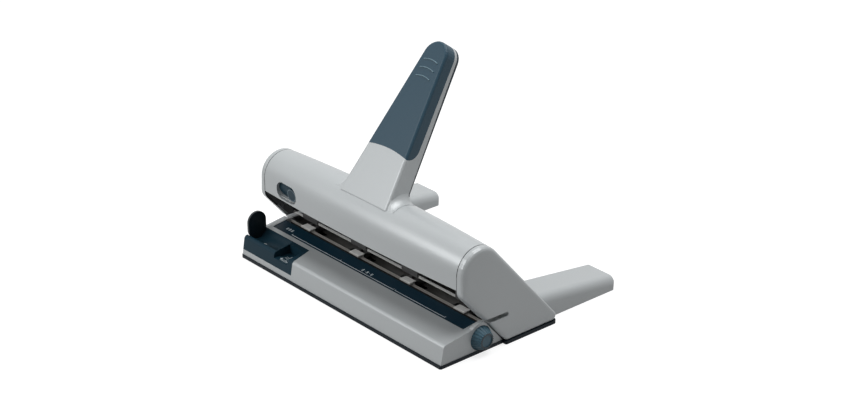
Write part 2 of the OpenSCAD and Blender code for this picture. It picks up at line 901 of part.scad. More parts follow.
module die_rail() {
    color("lightgray") difference() {
        along_x(-seam, seam) difference() {
            translate([rail_y, rail_z]) square([rail_back + steel_t - rail_y, rail_top - rail_z]);
            translate([rail_y + steel_t, rail_z + steel_t])
                square([rail_back - rail_y - steel_t, rail_top]);
        }
        for (x = head_places) translate([x - head_travel - cap_r, hole_y - cap_r, rail_z - overrun])
            cube([2 * (head_travel + cap_r), 2 * cap_r, overrun * 2 + steel_t]);
    }
}

module stop_rail() {
    color("lightgray") along_x(-seam, seam) translate([stop_y, slot_z + gap]) square([stop_t, slot_h - gap]);
}

// The beam that carries the heads, and the fence that guides the sheets above the slot
module guide_beam() {
    color("lightgray") along_x(-seam, seam) {
        translate([beam_y, beam_z]) square([beam_w, beam_h]);
        translate([fence_y, fence_z]) square([fence_t, fence_h]);
    }
}

module chassis_rail() {
    y = rail_back + steel_t;
    color("gray") along_x(-seam, seam) {
        translate([y, chassis_z]) square([steel_t, rail_top - chassis_z]);
        translate([y, chassis_z]) square([rear_end - y - 4 * wall, steel_t]);
    }
}

// Punch heads

head_places = [for (i = [-3 : 2 : 3]) pitch * i / 2];

module head(x) {
    front = fence_y - head_clear - fence_skin;
    color("lightsteelblue") translate([x, 0, 0]) difference() {
        union() {
            along_x(-head_w / 2, head_w / 2) head_side(front);
            along_x(-tab_w / 2, tab_w / 2) {
                translate([rail_y + steel_t + gap, jaw_z]) square([column_y + overrun - rail_y - steel_t - gap, jaw_t]);
                translate([tab_y, jaw_top - tab_t]) square([hole_y - tab_y, tab_t]);
            }
        }
        translate([0, hole_y, upper_z - overrun]) cylinder(r = pin_r + slip, h = upper_t + 2 * overrun);
        translate([0, hole_y, jaw_z - overrun]) cylinder(r = pin_r + 2 * slip, h = jaw_t + 2 * overrun);
        along_x(-head_w, head_w) {
            translate([beam_y - head_clear, beam_z - head_clear]) square([beam_w + 2 * head_clear, beam_h + 2 * head_clear]);
            translate([fence_y - head_clear, fence_z - overrun])
                square([fence_t + 2 * head_clear, fence_h + overrun + head_clear]);
        }
    }
}

// Side view of a head: its column and its upper block with sloping front edges
module head_side(front) {
    bevel = 2 * tab_t;
    translate([column_y, jaw_z]) square([column_t, upper_top - jaw_z]);
    polygon([[front + bevel, upper_top], [front, upper_top - bevel], [front, upper_z], [column_y + overrun, upper_z],
        [column_y + overrun, upper_top]]);
}

module pin(x) {
    tip = pin_r / 2;
    color("gainsboro") translate([x, hole_y, 0]) difference() {
        union() {
            translate([0, 0, pin_tip]) cylinder(r = pin_r, h = pin_top - pin_tip);
            translate([0, 0, pin_top - cap_t]) cylinder(r = cap_r, h = cap_t);
        }
        translate([0, 0, pin_tip - tip]) rotate([0, 90, 0]) cylinder(r = 2 * tip, h = 3 * pin_r, center = true);
    }
}

module pin_spring(x) {
    lower = upper_top + spring_wire / 2;
    upper = pin_top - cap_t - spring_wire / 2;
    color("gainsboro") translate([x, hole_y, lower]) coil(spring_r, spring_wire / 2, 9, upper - lower, 0);
}

module punch_head_1() {
    head(head_places[0]);
}

module punch_head_2() {
    head(head_places[1]);
}

module punch_head_3() {
    head(head_places[2]);
}

module punch_head_4() {
    head(head_places[3]);
}

module punch_pin_1() {
    pin(head_places[0]);
}

module punch_pin_2() {
    pin(head_places[1]);
}

module punch_pin_3() {
    pin(head_places[2]);
}

module punch_pin_4() {
    pin(head_places[3]);
}

module pin_spring_1() {
    pin_spring(head_places[0]);
}

module pin_spring_2() {
    pin_spring(head_places[1]);
}

module pin_spring_3() {
    pin_spring(head_places[2]);
}

module pin_spring_4() {
    pin_spring(head_places[3]);
}

// Legs

// Both legs are alike; the left one stands a little farther out
leg_sides = [leg_right_side, -leg_left_side];
leg_screw_x = [for (x = leg_sides) for (share = [1 / 4, 1 / 2]) x - leg_w * share];
leg_screw_z = leg_end_h + screw_head_r;
leg_screw_y = meet([back_angle, head_r - wall], [270, axis_h - leg_screw_z])[0];

module rear_screw(x) {
    translate([x, leg_screw_y, leg_screw_z]) rotate([back_angle - 90, 0, 0]) translate([0, 0, -overrun])
        cylinder(r = screw_r, h = screw_len + overrun + gap);
}

module leg_screws() {
    color("dimgray") for (x = leg_screw_x)
        translate([x, leg_screw_y, leg_screw_z]) rotate([back_angle - 90, 0, 0]) {
            cylinder(r = screw_r, h = screw_len);
            translate([0, 0, -screw_head_t]) cylinder(r = screw_head_r, h = screw_head_t);
        }
}

// A leg's outside, or its hollow, with its right side at x = 0; the top slopes down to the rear
module leg_form(inset) {
    drop = leg_root_h - leg_end_h;
    run = leg_end - rear_end;
    reach = norm([drop, run]) + rear_end;
    top_r = leg_side_round - inset;
    intersection() {
        translate([0, 0, -overrun * sign(inset)]) linear_extrude(axis_h) rounded_outline(
            [[inset - leg_w, 0], [-inset, 0], [-inset, leg_end - inset], [inset - leg_w, leg_end - inset]],
            [0, 0, leg_round - inset / 2, leg_round - inset / 2]);
        translate([0, leg_end, leg_end_h - inset]) rotate([90 - atan(drop / run), 0, 0]) linear_extrude(reach)
            rounded_outline([[inset - leg_w, -axis_h], [-inset, -axis_h], [-inset, 0], [inset - leg_w, 0]],
                [0, 0, top_r, foot_round - inset / 2]);
    }
}

// Everything in front of the rear cover's outer face, with a wall added to it
module before_cover(extra) {
    reach = 4 * rear_end;
    along_x(-side, overrun) translate([0, axis_h]) rotate(back_angle)
        translate([head_r + extra - reach, -reach]) square([reach, 2 * reach]);
}

module leg() {
    rib_step = (leg_end - rear_end) / 3;
    difference() {
        leg_form(0);
        difference() {
            leg_form(leg_wall);
            before_cover(leg_wall);
            for (y = [rear_end + rib_step : rib_step : leg_end]) translate([-leg_w, y, 0]) cube([leg_w, leg_wall, axis_h]);
            translate([-leg_w, leg_end - leg_round - 3 * pad_r, 0]) cube([leg_w, 3 * pad_r, 2 * pad_t]);
        }
        before_cover(0);
        along_x(-leg_w, overrun) square([rear_end + rim_out + gap, rim_h + gap]);
        for (x = leg_screw_x) translate([-leg_right_side, 0, 0]) rear_screw(x);
        leg_pad();
    }
}

module leg_pad() {
    translate([-leg_w / 2, leg_end - leg_round - 3 / 2 * pad_r, 0]) cylinder(r = pad_r, h = pad_t);
}

module leg_pads() {
    color("dimgray") for (x = leg_sides) translate([x, 0, 0]) leg_pad();
}

module rear_leg_right() {
    color("silver") translate([leg_right_side, 0, 0]) leg();
}

module rear_leg_left() {
    color("silver") translate([-leg_left_side, 0, 0]) leg();
}

// Pan

module pan_plan(out) {
    wide = seam + cheek_foot_t + out;
    step = wing_end(rim_h);
    base_plan(out);
    rounded_outline([[-wide, step], [wide, step], [wide, rear_end + out], [-wide, rear_end + out]],
        [side_round, side_round, 2 * side_round, 2 * side_round]);
}

module chip_pan() {
    inner = side - wall;
    color("midnightblue") difference() {
        union() {
            difference() {
                linear_extrude(rim_h) pan_plan(rim_out);
                translate([-inner, wall - base_front, pan_floor]) cube([2 * inner, base_front + rear_end - 2 * wall, rim_h]);
            }
            translate([-tray_side, tray_front, pan_floor / 2]) difference() {
                cube([2 * tray_side, tray_back - tray_front, tray_h - pan_floor / 2]);
                translate([wall, wall, pan_floor / 2])
                    cube([2 * (tray_side - wall), tray_back - tray_front - 2 * wall, tray_h]);
            }
        }
        grip_pad_set();
        round_x(selector_y, knob_h, knob_r + gap, side - knob_sink, side + overrun);
    }
}

pad_places = [for (x = [-1, 1]) for (y = [pad_r * 2 - base_front, rear_end - pad_r * 2]) [x * (side - 2 * pad_r), y]];

module grip_pad_set() {
    for (p = pad_places) translate([p[0], p[1], 0]) cylinder(r = pad_r, h = pad_t / 2);
}

module grip_pads() {
    color("dimgray") grip_pad_set();
}

base_cover();
cheek_right();
cheek_left();
side_plate_right();
side_plate_left();
rear_cover();
rear_leg_right();
rear_leg_left();
leg_pads();
chassis_rail();
die_rail();
stop_rail();
guide_beam();
scale_strip();
guide_insert();
pivot_shaft();
torsion_springs();
cheek_screws();
leg_screws();
chip_pan();
grip_pads();
lever_body();
lever_grip();
lever_back();
press_bar();
shaft_bushes();
lock_slider();
selector_bar();
selector_knob();
guide_bar();
stop_paddle();
punch_head_1();
punch_head_2();
punch_head_3();
punch_head_4();
punch_pin_1();
punch_pin_2();
punch_pin_3();
punch_pin_4();
pin_spring_1();
pin_spring_2();
pin_spring_3();
pin_spring_4();
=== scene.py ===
import math

import bpy
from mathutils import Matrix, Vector


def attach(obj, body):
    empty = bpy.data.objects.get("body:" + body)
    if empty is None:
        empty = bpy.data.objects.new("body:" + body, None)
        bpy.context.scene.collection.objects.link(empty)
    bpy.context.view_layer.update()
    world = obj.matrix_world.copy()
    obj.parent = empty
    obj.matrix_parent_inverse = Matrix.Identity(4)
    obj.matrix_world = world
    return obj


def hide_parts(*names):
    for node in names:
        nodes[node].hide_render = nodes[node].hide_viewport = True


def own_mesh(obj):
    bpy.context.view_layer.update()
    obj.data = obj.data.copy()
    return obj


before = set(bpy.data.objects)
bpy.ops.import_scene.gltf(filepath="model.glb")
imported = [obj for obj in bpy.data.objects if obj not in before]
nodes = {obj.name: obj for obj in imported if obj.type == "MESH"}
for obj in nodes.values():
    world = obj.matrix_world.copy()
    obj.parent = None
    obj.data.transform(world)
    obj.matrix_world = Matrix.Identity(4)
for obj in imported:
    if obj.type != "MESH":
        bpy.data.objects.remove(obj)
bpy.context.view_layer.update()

# The punch heads' numbers, with their places along X
headPlaces = {1: -0.12, 2: -0.04, 3: 0.04, 4: 0.12}


# Small helpers for shader trees

# places of the Mix node's sockets
mixSocket = {"factor": 0, "firstNumber": 2, "secondNumber": 3, "firstColour": 6, "secondColour": 7,
             "colourOut": 2}


def feed(tree, socket, value):
    # a socket takes a link from another socket, or a plain value
    if isinstance(value, bpy.types.NodeSocket):
        tree.links.new(value, socket)
    else:
        socket.default_value = value


def mathNode(tree, kind, operation, *values):
    node = tree.nodes.new(kind)
    node.operation = operation
    for socket, value in zip(node.inputs, values):
        feed(tree, socket, value)
    return node.outputs[0]


def numberMath(tree, operation, *values):
    return mathNode(tree, "ShaderNodeMath", operation, *values)


def vectorMath(tree, operation, *values):
    return mathNode(tree, "ShaderNodeVectorMath", operation, *values)


def scaled(tree, colour, factor):
    node = tree.nodes.new("ShaderNodeVectorMath")
    node.operation = "SCALE"
    feed(tree, node.inputs[0], colour)
    feed(tree, node.inputs["Scale"], factor)
    return node.outputs[0]


def spread(tree, value, low, high):
    # a value from 0 to 1, spread over another range
    node = tree.nodes.new("ShaderNodeMapRange")
    feed(tree, node.inputs["Value"], value)
    feed(tree, node.inputs["To Min"], low)
    feed(tree, node.inputs["To Max"], high)
    return node.outputs["Result"]


def noise(tree, place, scale, detail):
    node = tree.nodes.new("ShaderNodeTexNoise")
    feed(tree, node.inputs["Vector"], place)
    feed(tree, node.inputs["Scale"], scale)
    feed(tree, node.inputs["Detail"], detail)
    return node.outputs["Fac"]


def objectPlace(tree):
    return tree.nodes.new("ShaderNodeTexCoord").outputs["Object"]


def seenDirectly(tree):
    # 1 for rays from the camera and for mirrored rays, 0 for all others
    path = tree.nodes.new("ShaderNodeLightPath")
    return numberMath(tree, "MAXIMUM", path.outputs["Is Camera Ray"], path.outputs["Is Glossy Ray"])


# Camera, floor and light

def addCamera():
    view = {"place": (1.35097, -1.10462, 0.91081), "azimuth": 49.038, "elevation": 24.947, "lens": 82.29,
            "sensor": 36.0, "farthest": 20.0}
    data = bpy.data.cameras.new("photoCamera")
    data.lens = view["lens"]
    data.sensor_width = view["sensor"]
    data.clip_end = view["farthest"]
    camera = bpy.data.objects.new("photoCamera", data)
    bpy.context.scene.collection.objects.link(camera)
    camera.location = view["place"]
    camera.rotation_euler = (math.radians(90 - view["elevation"]), 0, math.radians(view["azimuth"]))
    bpy.context.scene.camera = camera


def addLight(name, light):
    data = bpy.data.lights.new(name, "AREA")
    data.shape = "RECTANGLE"
    data.size = light["width"]
    data.size_y = light["depth"]
    data.energy = light["power"]
    lamp = bpy.data.objects.new(name, data)
    bpy.context.scene.collection.objects.link(lamp)
    lamp.location = light["place"]
    beam = Vector(lightTarget) - Vector(light["place"])
    lamp.rotation_euler = beam.to_track_quat("-Z", "Y").to_euler()


def addFloor():
    # a pale floor that keeps the object's shadow, and glows to white where it is seen
    floor = {"size": 12.0, "colour": (0.34, 0.34, 0.34, 1), "glow": 0.8, "white": (1, 1, 1, 1)}
    bpy.ops.mesh.primitive_plane_add(size=floor["size"], location=(0, 0, 0))
    plane = bpy.context.active_object
    plane.name = "studioFloor"
    material = bpy.data.materials.new("studioFloor")
    plane.data.materials.append(material)
    material.use_nodes = True
    tree = material.node_tree
    tree.nodes.clear()
    diffuse = tree.nodes.new("ShaderNodeBsdfDiffuse")
    diffuse.inputs["Color"].default_value = floor["colour"]
    glow = tree.nodes.new("ShaderNodeEmission")
    glow.inputs["Color"].default_value = floor["white"]
    glow.inputs["Strength"].default_value = floor["glow"]
    both = tree.nodes.new("ShaderNodeAddShader")
    feed(tree, both.inputs[0], diffuse.outputs[0])
    feed(tree, both.inputs[1], glow.outputs[0])
    mix = tree.nodes.new("ShaderNodeMixShader")
    feed(tree, mix.inputs[0], seenDirectly(tree))
    feed(tree, mix.inputs[1], diffuse.outputs[0])
    feed(tree, mix.inputs[2], both.outputs[0])
    out = tree.nodes.new("ShaderNodeOutputMaterial")
    feed(tree, out.inputs["Surface"], mix.outputs[0])


def addWorld():
    # white where it is seen, and a weak even light on the object
    sky = {"strength": 0.1, "seenStrength": 1.0, "white": (1, 1, 1, 1)}
    world = bpy.data.worlds.new("studioWorld")
    bpy.context.scene.world = world
    world.use_nodes = True
    tree = world.node_tree
    mix = tree.nodes.new("ShaderNodeMix")
    feed(tree, mix.inputs[mixSocket["factor"]], seenDirectly(tree))
    feed(tree, mix.inputs[mixSocket["firstNumber"]], sky["strength"])
    feed(tree, mix.inputs[mixSocket["secondNumber"]], sky["seenStrength"])
    background = tree.nodes["Background"]
    feed(tree, background.inputs["Color"], sky["white"])
    feed(tree, background.inputs["Strength"], mix.outputs[0])


lightTarget = (0, 0, 0.05)
lights = {
    "topLight": {"place": (0.1, 0.55, 1.9), "width": 1.6, "depth": 1.2, "power": 35},
    "frontLight": {"place": (-0.6, -1.35, 0.95), "width": 1.0, "depth": 0.7, "power": 15},
}

bpy.context.scene.view_settings.view_transform = "Standard"
addCamera()
addFloor()
addWorld()
for lightName, lightValues in lights.items():
    addLight(lightName, lightValues)
print("stage ready")


# Shader groups that several finishes share

def newGroup(name, inputs, outputs):
    group = bpy.data.node_groups.new(name, "ShaderNodeTree")
    for label, kind, value in inputs:
        socket = group.interface.new_socket(label, in_out="INPUT", socket_type=kind)
        socket.default_value = value
    for label, kind in outputs:
        group.interface.new_socket(label, in_out="OUTPUT", socket_type=kind)
    start = group.nodes.new("NodeGroupInput")
    end = group.nodes.new("NodeGroupOutput")
    return group, start, end


surfaceOutputs = [
    ("Colour", "NodeSocketColor"),
    ("Roughness", "NodeSocketFloat"),
    ("Height", "NodeSocketFloat")]


def buildBoxZone():
    # 1 inside a box and 0 outside it; the box is turned about the line along X through a centre
    group, start, end = newGroup("boxZone", [
        ("Low corner", "NodeSocketVector", (0, 0, 0)),
        ("High corner", "NodeSocketVector", (1, 1, 1)),
        ("Centre", "NodeSocketVector", (0, 0, 0)),
        ("Turn", "NodeSocketFloat", 0.0)],
        [("Mask", "NodeSocketFloat")])
    turnedBack = group.nodes.new("ShaderNodeVectorRotate")
    turnedBack.rotation_type = "X_AXIS"
    feed(group, turnedBack.inputs["Vector"], objectPlace(group))
    feed(group, turnedBack.inputs["Center"], start.outputs["Centre"])
    feed(group, turnedBack.inputs["Angle"], numberMath(group, "MULTIPLY", start.outputs["Turn"], -1.0))
    place = turnedBack.outputs[0]
    above = vectorMath(group, "SUBTRACT", place, start.outputs["Low corner"])
    below = vectorMath(group, "SUBTRACT", start.outputs["High corner"], place)
    depths = group.nodes.new("ShaderNodeSeparateXYZ")
    feed(group, depths.inputs[0], vectorMath(group, "MINIMUM", above, below))
    least = numberMath(group, "MINIMUM", depths.outputs[0], depths.outputs[1])
    least = numberMath(group, "MINIMUM", least, depths.outputs[2])
    feed(group, end.inputs["Mask"], numberMath(group, "GREATER_THAN", least, 0.0))
    return group


def buildMouldedGrain():
    # fine spark-eroded texture with a slow drift of shade
    grain = {"fineDetail": 3.0, "driftScale": 14.0, "driftDetail": 2.0, "middle": 0.5}
    group, start, end = newGroup("mouldedGrain", [
        ("Colour", "NodeSocketColor", (0.5, 0.5, 0.5, 1)),
        ("Grain size", "NodeSocketFloat", 2600.0),
        ("Shade drift", "NodeSocketFloat", 0.05),
        ("Roughness", "NodeSocketFloat", 0.4),
        ("Roughness drift", "NodeSocketFloat", 0.06)],
        surfaceOutputs)
    place = objectPlace(group)
    fine = noise(group, place, start.outputs["Grain size"], grain["fineDetail"])
    slow = noise(group, place, grain["driftScale"], grain["driftDetail"])
    drift = numberMath(group, "SUBTRACT", slow, grain["middle"])
    shade = numberMath(group, "MULTIPLY_ADD", drift, start.outputs["Shade drift"], 1.0)
    change = numberMath(group, "MULTIPLY", drift, start.outputs["Roughness drift"])
    feed(group, end.inputs["Colour"], scaled(group, start.outputs["Colour"], shade))
    feed(group, end.inputs["Roughness"], numberMath(group, "ADD", change, start.outputs["Roughness"]))
    feed(group, end.inputs["Height"], fine)
    return group


def buildRolledLines():
    # fine lines of rolled sheet steel, drawn out along the axis with the least stretch
    rolled = {"scale": 8.0, "detail": 4.0, "smoothest": -0.08, "roughest": 0.1, "darkest": 0.8,
              "palest": 1.15}
    group, start, end = newGroup("rolledLines", [
        ("Colour", "NodeSocketColor", (0.5, 0.5, 0.5, 1)),
        ("Stretch", "NodeSocketVector", (1, 1, 1)),
        ("Roughness", "NodeSocketFloat", 0.4)],
        surfaceOutputs)
    mapping = group.nodes.new("ShaderNodeMapping")
    feed(group, mapping.inputs["Vector"], objectPlace(group))
    feed(group, mapping.inputs["Scale"], start.outputs["Stretch"])
    lines = noise(group, mapping.outputs["Vector"], rolled["scale"], rolled["detail"])
    change = spread(group, lines, rolled["smoothest"], rolled["roughest"])
    shade = spread(group, lines, rolled["darkest"], rolled["palest"])
    feed(group, end.inputs["Colour"], scaled(group, start.outputs["Colour"], shade))
    feed(group, end.inputs["Roughness"], numberMath(group, "ADD", change, start.outputs["Roughness"]))
    feed(group, end.inputs["Height"], lines)
    return group


# Finishes

zoneGroup = buildBoxZone()
grainGroup = buildMouldedGrain()
lineGroup = buildRolledLines()
reliefDepth = 0.0002


def newFinish(name, group, values, bump, metallic, specular):
    material = bpy.data.materials.new(name)
    material.use_nodes = True
    tree = material.node_tree
    shader = tree.nodes["Principled BSDF"]
    surface = tree.nodes.new("ShaderNodeGroup")
    surface.node_tree = group
    for label, value in values.items():
        surface.inputs[label].default_value = value
    relief = tree.nodes.new("ShaderNodeBump")
    relief.inputs["Strength"].default_value = bump
    relief.inputs["Distance"].default_value = reliefDepth
    feed(tree, relief.inputs["Height"], surface.outputs["Height"])
    feed(tree, shader.inputs["Base Color"], surface.outputs["Colour"])
    feed(tree, shader.inputs["Roughness"], surface.outputs["Roughness"])
    feed(tree, shader.inputs["Normal"], relief.outputs["Normal"])
    shader.inputs["Metallic"].default_value = metallic
    shader.inputs["Specular IOR Level"].default_value = specular
    return material


def mouldedPlastic(name, colour, roughness, grain=2600.0, bump=0.05, metallic=0.0, specular=0.5):
    values = {"Colour": (*colour, 1), "Grain size": grain, "Roughness": roughness}
    return newFinish(name, grainGroup, values, bump, metallic, specular)


def rolledSteel(name, colour, roughness, stretch=(6.0, 400.0, 400.0), bump=0.08, metallic=0.6, specular=0.5):
    values = {"Colour": (*colour, 1), "Stretch": stretch, "Roughness": roughness}
    return newFinish(name, lineGroup, values, bump, metallic, specular)


def addZone(finish, low, high, colour, centre=(0, 0, 0), turn=0.0):
    # a second colour inside a box, mixed in just before the shader
    tree = finishes[finish].node_tree
    base = tree.nodes["Principled BSDF"].inputs["Base Color"]
    zone = tree.nodes.new("ShaderNodeGroup")
    zone.node_tree = zoneGroup
    zone.inputs["Low corner"].default_value = low
    zone.inputs["High corner"].default_value = high
    zone.inputs["Centre"].default_value = centre
    zone.inputs["Turn"].default_value = math.radians(turn)
    mix = tree.nodes.new("ShaderNodeMix")
    mix.data_type = "RGBA"
    feed(tree, mix.inputs[mixSocket["factor"]], zone.outputs["Mask"])
    feed(tree, mix.inputs[mixSocket["firstColour"]], base.links[0].from_socket)
    feed(tree, mix.inputs[mixSocket["secondColour"]], (*colour, 1))
    feed(tree, base, mix.outputs[mixSocket["colourOut"]])


shellGrey = {"colour": (0.445, 0.47, 0.48), "roughness": 0.36, "metallic": 0.12}
plastics = {
    "greyShell": shellGrey,
    "leverShell": shellGrey,
    "legShell": shellGrey,
    "darkBlue": {"colour": (0.008, 0.029, 0.045), "roughness": 0.42, "bump": 0.08, "specular": 0.1},
    "stripBlue": {"colour": (0.003, 0.021, 0.038), "roughness": 0.4, "specular": 0.13},
    "knobBlue": {"colour": (0.033, 0.095, 0.135), "roughness": 0.42, "bump": 0.08, "specular": 0.35},
    "lockBlue": {"colour": (0.008, 0.03, 0.046), "roughness": 0.4, "specular": 0.15},
    # painted highlight: the pale blue of the ring round the lock's button
    "highlightBlue": {"colour": (0.07, 0.12, 0.15), "roughness": 0.35, "specular": 0.4},
    # painted shade: the paddle gets the insert's dark blue made darker still, for the shade on its face
    # turned from the light
    "shadedStopBlue": {"colour": (0.004, 0.01, 0.015), "roughness": 0.35, "specular": 0.35},
    "softPad": {"colour": (0.015, 0.05, 0.078), "roughness": 0.42, "grain": 1800.0, "bump": 0.12,
                "specular": 0.3},
    "panPlastic": {"colour": (0.002, 0.006, 0.011), "roughness": 0.45, "specular": 0.12},
    "blackPlastic": {"colour": (0.01, 0.01, 0.012), "roughness": 0.5},
    "paleInk": {"colour": (0.78, 0.85, 0.88), "roughness": 0.5, "bump": 0.0},
}
linesAlongY = (400.0, 6.0, 400.0)
steels = {
    "brightSteel": {"colour": (0.62, 0.62, 0.61), "roughness": 0.3},
    "plateSteel": {"colour": (0.92, 0.92, 0.9), "roughness": 0.4, "metallic": 0.15, "stretch": linesAlongY},
    # painted shade: the heads and the die rail get near-black steel, for the shade of the gaps under the
    # drum
    "headSteel": {"colour": (0.13, 0.13, 0.13), "roughness": 0.35, "stretch": linesAlongY},
    "railSteel": {"colour": (0.07, 0.068, 0.064), "roughness": 0.35},
    "beamSteel": {"colour": (0.26, 0.26, 0.25), "roughness": 0.35},
    "darkSteel": {"colour": (0.16, 0.165, 0.17), "roughness": 0.4},
}
finishes = {name: mouldedPlastic(name, **look) for name, look in plastics.items()}
finishes.update({name: rolledSteel(name, **look) for name, look in steels.items()})

# Second colours of the finishes, most of them painted light and shade

# painted highlights: pale upper edges of the heads, the rail and the beam, for the light they catch under
# the drum; painted shade: the dark end of the knob, its face turned away from the light
edges = {
    "headSteel": {"low": (-0.2, 0.003, 0.02), "high": (0.2, 0.0115, 0.0293), "colour": (0.78, 0.78, 0.76)},
    "railSteel": {"low": (-0.2, 0.007, 0.0255), "high": (0.2, 0.0093, 0.03), "colour": (0.58, 0.56, 0.53)},
    "beamSteel": {"low": (-0.2, 0.011, 0.0345), "high": (0.2, 0.0135, 0.038), "colour": (0.8, 0.8, 0.78)},
    "knobBlue": {"low": (0.1658, -0.0088, 0.0076), "high": (0.167, 0.0076, 0.024),
                 "colour": (0.006, 0.018, 0.026)},
}
for paintedLightFinish, edge in edges.items():
    addZone(paintedLightFinish, **edge)

# painted shade: a dark line where each cheek meets the drum and, lower down, the rear cover, for the shadow
# in the narrow gap between the parts
shadowGap = {"x": 0.149, "half": 0.00045, "colour": (0.06, 0.065, 0.07),
         "runs": [((-0.1, 0.05), (0.1, 0.2)), ((0.03, 0.006), (0.1, 0.05))]}
for shadowGapFinish in ("greyShell", "leverShell"):
    for x in (-shadowGap["x"], shadowGap["x"]):
        for low, high in shadowGap["runs"]:
            addZone(shadowGapFinish, (x - shadowGap["half"], *low), (x + shadowGap["half"], *high), shadowGap["colour"])

# dark line along the arm's back layer; the box is turned with the arm's back
armBack = {"halfWidth": 0.04, "foot": 0.121, "reach": 0.4, "behind": 0.02, "line": 0.0012, "turn": -34.2,
           "centre": (0, -0.00308, 0.08723), "colour": (0.01, 0.015, 0.02)}
addZone("leverShell",
        low=(-armBack["halfWidth"], armBack["centre"][1] - armBack["line"], armBack["foot"]),
        high=(armBack["halfWidth"], armBack["behind"], armBack["reach"]),
        colour=armBack["colour"], centre=armBack["centre"], turn=armBack["turn"])

# painted highlight: pale tops of the ridges on the pad, where they catch the light; the box is turned with
# the arm's front
ridgeHighlight = {"halfWidth": 0.03, "foot": 0.2, "reach": 0.4, "from": -0.0293, "to": -0.0275, "turn": -35.9,
          "centre": (0, 0, 0.085), "colour": (0.12, 0.19, 0.23)}
addZone("softPad",
        low=(-ridgeHighlight["halfWidth"], ridgeHighlight["from"], ridgeHighlight["foot"]),
        high=(ridgeHighlight["halfWidth"], ridgeHighlight["to"], ridgeHighlight["reach"]),
        colour=ridgeHighlight["colour"], centre=ridgeHighlight["centre"], turn=ridgeHighlight["turn"])

nodeFinish = {
    "greyShell": ["base_cover", "cheek_right", "cheek_left", "rear_cover"],
    "leverShell": ["lever_body"],
    "legShell": ["rear_leg_right", "rear_leg_left"],
    "darkBlue": ["guide_insert", "guide_bar", "lever_back"],
    "stripBlue": ["scale_strip"],
    "knobBlue": ["selector_knob"],
    "lockBlue": ["lock_slider"],
    "shadedStopBlue": ["stop_paddle"],
    "softPad": ["lever_grip"],
    "panPlastic": ["chip_pan"],
    "blackPlastic": ["leg_pads", "grip_pads", "shaft_bushes"],
    "headSteel": ["punch_head_" + str(i) for i in headPlaces],
    "railSteel": ["die_rail"],
    "beamSteel": ["guide_beam"],
    "brightSteel": ["stop_rail", "pivot_shaft", "torsion_springs", "press_bar"]
        + [kind + str(i) for kind in ("punch_pin_", "pin_spring_") for i in headPlaces],
    "darkSteel": ["side_plate_right", "side_plate_left", "chassis_rail", "cheek_screws", "leg_screws",
                  "selector_bar"],
}
for finish, names in nodeFinish.items():
    for name in names:
        mesh = nodes[name].data
        mesh.materials.clear()
        mesh.materials.append(finishes[finish])
print("finishes set")


# Helpers for the pieces

def deselectAll():
    bpy.ops.object.select_all(action="DESELECT")


def makeActive(piece):
    deselectAll()
    piece.select_set(True)
    bpy.context.view_layer.objects.active = piece


def applyPlace():
    bpy.ops.object.transform_apply(location=True, rotation=True, scale=True)


def applyModifier(piece, kind, **values):
    modifier = piece.modifiers.new(kind.lower(), kind)
    for key, value in values.items():
        setattr(modifier, key, value)
    makeActive(piece)
    bpy.ops.object.modifier_apply(modifier=modifier.name)


def settle(piece, bodyName, finish):
    # place, turn and scale go into the mesh, and the piece gets its body and finish
    makeActive(piece)
    applyPlace()
    bpy.ops.object.mode_set(mode="EDIT")
    bpy.ops.mesh.select_all(action="SELECT")
    bpy.ops.mesh.normals_make_consistent(inside=False)
    bpy.ops.object.mode_set(mode="OBJECT")
    piece.data.materials.clear()
    piece.data.materials.append(finishes[finish])
    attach(piece, bodyName)


def copiesOf(first, stem):
    # the piece and its copies, one for each head, each with its own mesh
    pieces = {}
    for i in headPlaces:
        piece = first
        if pieces:
            piece = first.copy()
            piece.data = first.data.copy()
            bpy.context.scene.collection.objects.link(piece)
        piece.name = stem + str(i)
        pieces[i] = piece
    return pieces


# Printed marks

def stroke(x0, x1, y0, y1):
    # a flat printed bar between two corners
    middle = ((x0 + x1) / 2, (y0 + y1) / 2, 0)
    deselectAll()
    bpy.ops.mesh.primitive_plane_add(size=x1 - x0, location=middle)
    bar = bpy.context.active_object
    bpy.ops.object.mode_set(mode="EDIT")
    bpy.ops.mesh.select_all(action="SELECT")
    bpy.ops.transform.resize(value=(1, (y1 - y0) / (x1 - x0), 1), center_override=middle)
    bpy.ops.object.mode_set(mode="OBJECT")
    applyPlace()
    return bar


def figures(words, x, y, height):
    # plain figures, centred on a place
    deselectAll()
    bpy.ops.object.text_add(location=(0, 0, 0))
    text = bpy.context.active_object
    text.data.body = words
    text.data.size = height
    text.data.align_x = "CENTER"
    text.data.align_y = "CENTER"
    bpy.ops.object.convert(target="MESH")
    text = bpy.context.active_object
    text.location = (x, y, 0)
    applyPlace()
    return text


def joined(name, parts, thickness):
    deselectAll()
    for part in parts:
        part.select_set(True)
    bpy.context.view_layer.objects.active = parts[0]
    bpy.ops.object.join()
    whole = bpy.context.active_object
    whole.name = name
    applyModifier(whole, "SOLIDIFY", thickness=thickness, offset=1.0)
    return whole


def addStripMarks():
    # on the dark strip: two long lines with ticks at their ends, and figures above them
    strip = {"line": 0.0005, "lineY": -0.0136, "tick": 0.0016, "figure": 0.0052, "ink": 0.00005,
             "runs": [(-0.120, 0.0435), (0.0460, 0.120)], "ticks": [-0.120, -0.040, 0.0435, 0.0460, 0.120],
             "words": [("8 8 8", -0.1295, -0.0088), ("8 \u00b7 8 \u00b7 8", -0.001, -0.0100)],
             "backHeight": 0.02902, "slope": 0.12658}
    half, y = strip["line"] / 2, strip["lineY"]
    parts = [stroke(x0, x1, y - half, y + half) for x0, x1 in strip["runs"]]
    parts += [stroke(x - half, x + half, y, y + strip["tick"]) for x in strip["ticks"]]
    parts += [figures(words, x, at, strip["figure"]) for words, x, at in strip["words"]]
    marks = joined("stripMarks", parts, strip["ink"])
    marks.rotation_euler = (math.atan(strip["slope"]), 0, 0)
    marks.location = (0, 0, strip["backHeight"])
    settle(marks, "frame", "paleInk")


